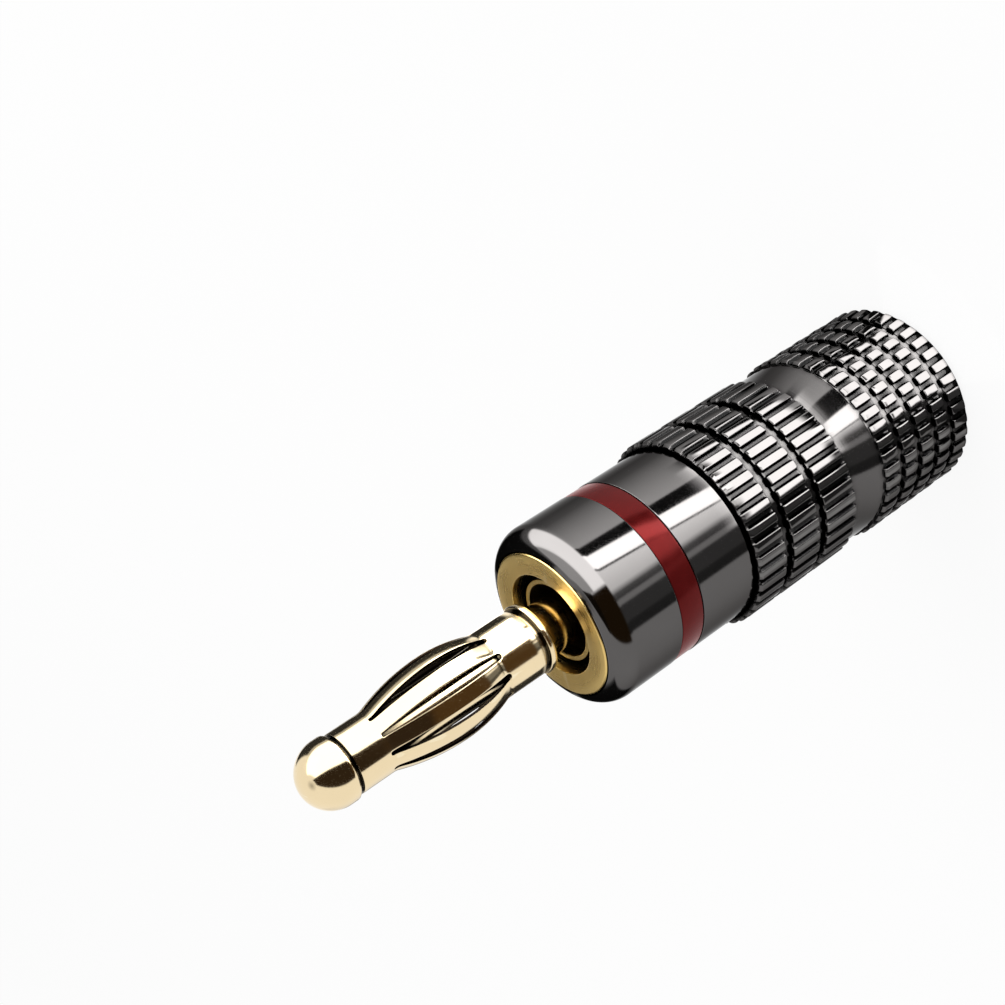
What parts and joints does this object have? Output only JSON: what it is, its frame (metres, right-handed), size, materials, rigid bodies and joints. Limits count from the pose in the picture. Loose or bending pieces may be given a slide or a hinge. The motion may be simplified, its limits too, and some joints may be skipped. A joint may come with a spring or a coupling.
{
  "type": "banana plug",
  "caption": "Round speaker banana plug with a bowed gold spring contact, a smooth front sleeve with a colour ring, and a fluted screw-on grip with a cable entry.",
  "frame": {"origin": "centre of the rear face of the grip sleeve", "axes": "+Z along the plug's axis, from the cable entry towards the nose of the contact pin; +X on the side of the set screws"},
  "size_m": [0.0118, 0.0118, 0.0448],
  "materials": {
    "gunmetal": "polished dark plating",
    "gold": "satin gold plating",
    "pale_gold": "polished pale gold plating",
    "red_ring": "gloss",
    "screw_steel": "black oxide"
  },
  "bodies": {
    "grip": {"grip_sleeve": "gunmetal"},
    "ring": {"colour_ring": "red_ring"},
    "front": {"front_sleeve": "gunmetal", "plug_body": "gold", "contact_pin": "pale_gold", "nose_tip": "pale_gold"},
    "spring": {"lantern_spring": "pale_gold"},
    "rear_screw": {"set_screw_rear": "screw_steel"},
    "front_screw": {"set_screw_front": "screw_steel"}
  },
  "joints": [
    {"name": "unscrew_travel", "type": "slide", "parent": "grip", "child": "ring", "axis": [0, 0, 1], "range_m": [0, 0.00601]},
    {"name": "unscrew_turn", "type": "hinge", "parent": "ring", "child": "front", "pos_m": [0, 0, 0.0182], "axis": [0, 0, 1], "range_deg": [0, 2880]},
    {"name": "spring_spin", "type": "hinge", "parent": "front", "child": "spring", "pos_m": [0, 0, 0.0364], "axis": [0, 0, 1], "continuous": true},
    {"name": "rear_screw_travel", "type": "slide", "parent": "front", "child": "rear_screw", "axis": [-1, 0, 0], "range_m": [0, 0.0011]},
    {"name": "front_screw_travel", "type": "slide", "parent": "front", "child": "front_screw", "axis": [-1, 0, 0], "range_m": [0, 0.0011]}
  ],
  "couplings": [
    {"joint": "unscrew_travel", "follows": "unscrew_turn", "m_per_rad": 0.00011937}
  ]
}
